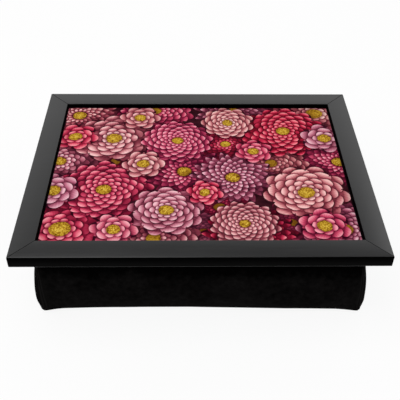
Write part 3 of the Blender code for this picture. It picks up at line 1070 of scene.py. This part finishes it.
def makeSeams(cover):
    # one smooth subdivision, and a furrow along each seam
    finer = cover.modifiers.new("finer", "SUBSURF")
    finer.levels = 1
    finer.render_levels = 1
    applyAll(cover)
    marked = onSeam(cover)
    edit(cover)
    pick(cover, "EDGE", lambda edge: all(point.index in marked for point in edge.verts))
    width = bag["seamWidth"]
    bpy.ops.mesh.bevel(offset=width, offset_type="OFFSET", segments=2, affect="EDGES", clamp_overlap=True)
    bpy.ops.mesh.select_mode(type="VERT")
    bmesh.from_edit_mesh(cover.data).verts.layers.float.new("furrow")
    # the bevel's outer rows lie half as deep as its middle row
    markFurrow(cover, 0.5)
    bpy.ops.mesh.select_less()
    markFurrow(cover, 1.0)
    bpy.ops.transform.shrink_fatten(value=-bag["seamDepth"])
    leave()


def foldPlaces():
    # the flange's way from the wall over the board's edge: how far inward and how far up, row by row
    fold = bag["fold"]
    places = []
    for degrees in bag["foldTurns"]:
        turn = math.radians(degrees)
        places.append((fold * (1 - math.cos(turn)), fold * math.sin(turn)))
    for row in range(1, bag["flangeRows"] + 1):
        places.append((fold + (bag["flange"] - fold) * row / bag["flangeRows"], fold))
    return places


def makeFlange(cover):
    # the mouth goes on up round the base board and is folded in over it
    wallTop = frameFoot + bag["flangeTop"] - bag["fold"]
    edit(cover)
    pick(cover, "EDGE", lambda edge: edge.is_boundary)
    rise = (wallTop - frameFoot) / bag["wrapRows"]
    for row in range(bag["wrapRows"]):
        bpy.ops.mesh.extrude_region_move(TRANSFORM_OT_translate={"value": (0, 0, rise)})
    before = 0
    for inward, upward in foldPlaces():
        bpy.ops.mesh.extrude_region_move()
        shape = bmesh.from_edit_mesh(cover.data)
        for point in shape.verts:
            if point.select:
                point.co.x *= (wrapHalf.x - inward) / (wrapHalf.x - before)
                point.co.y *= (wrapHalf.y - inward) / (wrapHalf.y - before)
                point.co.z = wallTop + upward
        bmesh.update_edit_mesh(cover.data)
        before = inward
    leave()


def cutCorners(cover):
    # a cut at each corner of the flange, opened a little

    def fromCorner(point):
        return wrapHalf.x - abs(point.co.x)

    def onCut(point):
        # on the line that runs in from a corner, a little way from it
        diagonal = abs(abs(point.co.x) - abs(point.co.y) - (wrapHalf.x - wrapHalf.y)) < bag["squares"] / 5
        flange = point.co.z > frameFoot + bag["flangeTop"] - tiny
        return flange and diagonal and fromCorner(point) > bag["cutFrom"]

    edit(cover)
    pick(cover, "EDGE", lambda edge: all(onCut(point) for point in edge.verts))
    bpy.ops.mesh.edge_split(type="EDGE")
    shape = bmesh.from_edit_mesh(cover.data)
    for point in shape.verts:
        if onCut(point) and point.is_boundary and fromCorner(point) > bag["cutFrom"] + bag["squares"] / 2:
            middles = [face.calc_center_median() for face in point.link_faces]
            away = sum(middles, Vector()) / len(middles) - point.co
            along = Vector((math.copysign(1, point.co.x), math.copysign(1, point.co.y), 0)).normalized()
            across = away - along * away.dot(along)
            point.co += across.normalized() * bag["cutWidth"] / 2
    bmesh.update_edit_mesh(cover.data)
    leave()


def thicken(cover):
    # gives the cover its cloth's thickness inwards, and holes for the staples' legs
    thick = cover.modifiers.new("thick", "SOLIDIFY")
    thick.thickness = bag["coverThickness"]
    thick.offset = -1
    thick.thickness_clamp = 1
    applyAll(cover)
    legs = fattened("staple", bag["staplePlay"])
    cutOut(cover, legs)
    bpy.data.objects.remove(legs)
    cover.vertex_groups.clear()


def suede():
    # short nap: mottled where it lies one way or the other, and paler round the foot; painted highlights
    # beside the seams and painted shade in them, close under the frame and on the side panels
    paint = Finish("black_suede", Specular_IOR_Level=0.006, Sheen_Weight=0.002, Sheen_Roughness=0.5)
    spot = paint.coordinates()
    strokes = paint.noise(spot, 0.035, detail=3, rough=0.6)
    patches = paint.noise(spot, 0.16, detail=3, rough=0.6)
    nap = paint.noise(spot, 2.4, detail=3, rough=0.7)
    furrow = paint.node("Attribute", {"attribute_name": "furrow"}, {}, "Fac")
    # painted highlight beside each seam and painted shade in its middle
    seamShading = paint.ramp(furrow, greys(seamShadeAndHighlight)) - seamShadeAndHighlight[0][1]
    x, y, height = paint.apart(spot)
    # painted shade close under the frame
    shadeUnderFrame = ((height - suedeAt["shadeFrom"]) / suedeAt["shadeOver"]).held()
    atFoot = (1 - height / suedeAt["paleUpTo"]).held()
    # painted shade on the side panels
    sideways = ((x.size() - y.size() - suedeAt["sidesFrom"]) / suedeAt["sidesOver"]).held()
    shadeOnSides = sideways * (height / suedeAt["floorUpTo"]).held()
    tone = strokes * 0.32 + patches * 0.40 + nap * 0.28 + seamShading
    tone = tone + atFoot * 0.09 - shadeUnderFrame * 0.24 - shadeOnSides * 0.10
    deep = (0.0006, 0.0005, 0.0005)
    paleTone = (0.0072, 0.0066, 0.0066)
    paint.look("Base Color", paint.ramp(tone, [(0.34, deep), (0.68, paleTone)]))
    paint.look("Roughness", 0.82 + nap * 0.15)
    paint.bump(nap * 0.6 + patches * 0.5, 0.5, 0.25)
    return paint


def beadHeap():
    # expanded beads a few millimetres across, seen as rounded cells, with painted shade between them
    paint = Finish("white_beads", Specular_IOR_Level=0.25)
    spot = paint.coordinates()
    dome = paint.cells(spot, 0.30)
    tint = paint.noise(spot, 0.30, detail=1)
    # painted shade: each bead pales towards its middle and darkens where it meets the next
    paint.look("Base Color", paint.ramp(dome, [(0.35, (0.86, 0.86, 0.84)), (0.85, (0.55, 0.55, 0.54))]))
    paint.look("Roughness", 0.6 + tint * 0.25)
    paint.bump(1 - dome, 1.0, 1.6)
    return paint


cover = makeBag()
fill(cover)
print("cushion filled")
uneven(cover)
beads = makeBeads(cover)
makeSeams(cover)
makeFlange(cover)
cutCorners(cover)
thicken(cover)
smoothed(cover, bag["sharpFrom"])
suede().give(cover)
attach(cover, body)
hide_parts("cushion_cover")
smoothed(beads, bag["sharpFrom"])
beadHeap().give(beads)
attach(beads, body)
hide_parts("bead_filling")
print("cushion sewn and closed")
